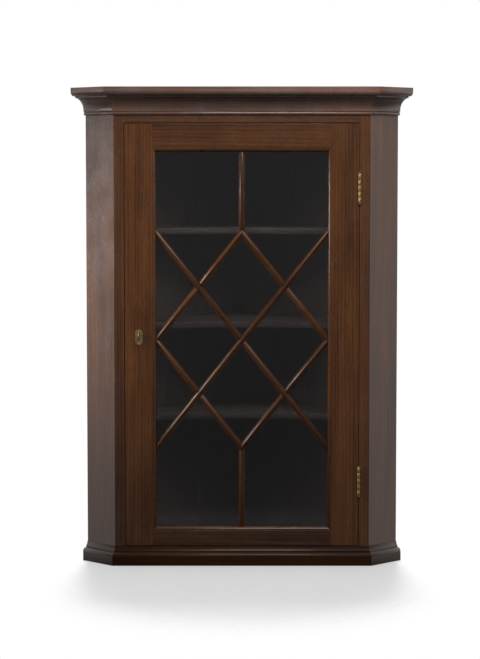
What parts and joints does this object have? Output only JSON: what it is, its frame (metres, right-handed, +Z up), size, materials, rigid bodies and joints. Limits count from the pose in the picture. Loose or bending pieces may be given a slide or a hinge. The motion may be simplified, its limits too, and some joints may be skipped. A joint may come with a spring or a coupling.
{
  "type": "hanging corner cupboard",
  "caption": "Hanging corner cupboard with canted sides, a moulded cornice and base, and a glazed door with diamond lattice bars over shaped shelves.",
  "frame": {"origin": "middle of the box round the cupboard, on the level of its base", "axes": "+Z up, -Y out of the door, +Y into the room corner"},
  "size_m": [0.751, 0.4532, 1.05],
  "materials": {
    "mahogany": "french polished",
    "pine": "aged and unpolished",
    "shelf_wood": "waxed",
    "glass": "clear",
    "putty": "matte",
    "brass": "aged",
    "steel": "aged"
  },
  "bodies": {
    "case": {"bottom_board": "pine", "top_board": "pine", "left_backboard_1": "pine", "left_backboard_2": "pine", "left_backboard_3": "pine", "right_backboard_1": "pine", "right_backboard_2": "pine", "right_backboard_3": "pine", "left_hanging_rail": "pine", "right_hanging_rail": "pine", "left_canted_side": "mahogany", "right_canted_side": "mahogany", "left_front_stile": "mahogany", "right_front_stile": "mahogany", "bottom_front_rail": "mahogany", "top_front_rail": "mahogany", "door_stop": "pine", "cornice_front": "mahogany", "cornice_left": "mahogany", "cornice_right": "mahogany", "base_moulding_front": "mahogany", "base_moulding_left": "mahogany", "base_moulding_right": "mahogany", "cornice_glue_blocks": "pine", "lower_shelf": "shelf_wood", "middle_shelf": "shelf_wood", "upper_shelf": "shelf_wood", "shelf_bearers": "pine", "lower_hinge_case_leaf": "brass", "upper_hinge_case_leaf": "brass", "hinge_pins": "brass", "hinge_case_screws": "steel", "strike_plate": "brass"},
    "door": {"door_left_stile": "mahogany", "door_right_stile": "mahogany", "door_bottom_rail": "mahogany", "door_top_rail": "mahogany", "door_sight_moulding": "mahogany", "glazing_bar_rising": "mahogany", "glazing_bar_falling": "mahogany", "glazing_bar_upper_left": "mahogany", "glazing_bar_upper_right": "mahogany", "glazing_bar_upper_upright": "mahogany", "glazing_bar_lower_left": "mahogany", "glazing_bar_lower_right": "mahogany", "glazing_bar_lower_upright": "mahogany", "top_panes": "glass", "bottom_panes": "glass", "diamond_panes": "glass", "side_triangle_panes": "glass", "glazing_putty": "putty", "lower_hinge_door_leaf": "brass", "upper_hinge_door_leaf": "brass", "hinge_door_screws": "steel", "lock_case": "steel", "lock_screws": "steel", "escutcheon": "brass"},
    "lock_bolt": {"lock_bolt": "brass"},
    "key": {"key": "steel"}
  },
  "joints": [
    {"name": "door_swing", "type": "hinge", "parent": "case", "child": "door", "pos_m": [0.25725, -0.18735, 0.5], "axis": [0, 0, 1], "range_deg": [0, 135]},
    {"name": "key_turn", "type": "hinge", "parent": "door", "child": "key", "pos_m": [-0.2255, -0.18355, 0.508], "axis": [0, -1, 0], "range_deg": [0, 90]},
    {"name": "bolt_slide", "type": "slide", "parent": "door", "child": "lock_bolt", "axis": [-1, 0, 0], "range_m": [0, 0.01]}
  ],
  "couplings": [
    {"joint": "key_turn", "follows": "bolt_slide", "rad_per_m": 157.07}
  ]
}
